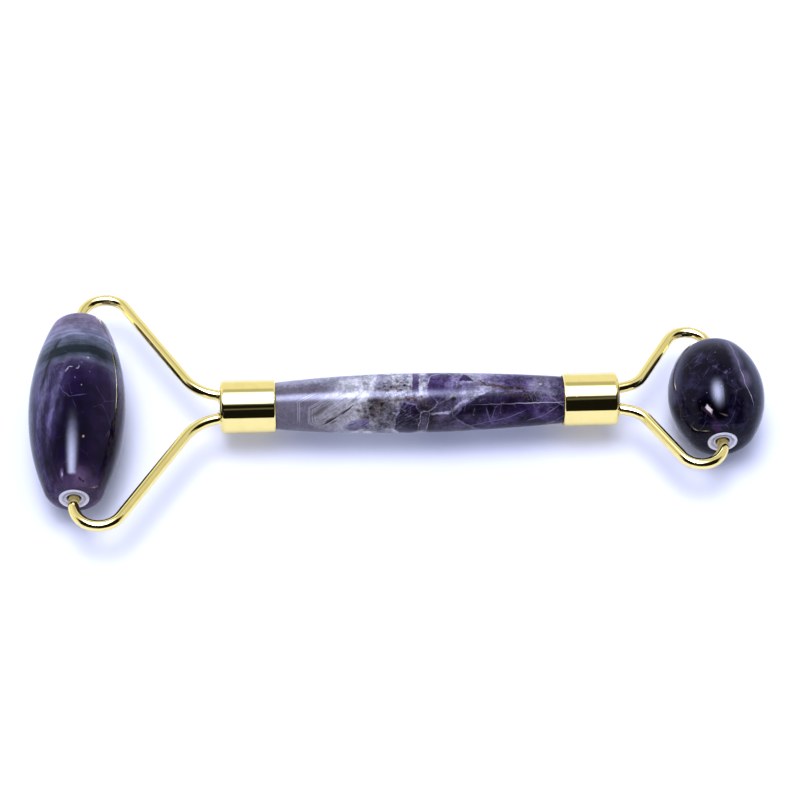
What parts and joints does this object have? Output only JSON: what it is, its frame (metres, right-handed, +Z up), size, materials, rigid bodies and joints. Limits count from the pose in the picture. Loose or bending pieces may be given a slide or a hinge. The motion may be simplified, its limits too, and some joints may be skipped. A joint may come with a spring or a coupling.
{
  "type": "face roller",
  "caption": "Double-ended face massage roller: a round stone handle in metal caps, with a long barrel stone at one end and a short one at the other, each spinning in a bent wire fork.",
  "frame": {"origin": "the point on the table under the middle of the overall length, midway between the two stones' axes", "axes": "+X along the handle towards the small stone, +Y across, along both stones' axes, +Z up"},
  "size_m": [0.145, 0.058, 0.019],
  "materials": {
    "handle_amethyst": "polished banded amethyst, purple, grey and white",
    "roller_amethyst": "polished dark amethyst",
    "gold_plated_cap": "mirror-polished pale gold plate",
    "gold_plated_wire": "polished pale gold plate",
    "gold_plated_solder": "gold-plated solder",
    "bush_plastic": "white moulded nylon, slightly see-through",
    "glue": "set clear adhesive"
  },
  "bodies": {
    "handle": {"handle_stone": "handle_amethyst", "large_ferrule": "gold_plated_cap", "large_glue": "glue", "large_far_wire": "gold_plated_wire", "large_near_wire": "gold_plated_wire", "large_far_solder": "gold_plated_solder", "large_near_solder": "gold_plated_solder", "small_ferrule": "gold_plated_cap", "small_glue": "glue", "small_far_wire": "gold_plated_wire", "small_near_wire": "gold_plated_wire", "small_far_solder": "gold_plated_solder", "small_near_solder": "gold_plated_solder"},
    "large_roller": {"large_stone": "roller_amethyst", "large_far_bush": "bush_plastic", "large_near_bush": "bush_plastic"},
    "small_roller": {"small_stone": "roller_amethyst", "small_far_bush": "bush_plastic", "small_near_bush": "bush_plastic"}
  },
  "joints": [
    {"name": "large_spin", "type": "hinge", "parent": "handle", "child": "large_roller", "pos_m": [-0.063, 0, 0.0095], "axis": [0, 1, 0], "continuous": true},
    {"name": "small_spin", "type": "hinge", "parent": "handle", "child": "small_roller", "pos_m": [0.063, 0, 0.0095], "axis": [0, 1, 0], "continuous": true}
  ]
}
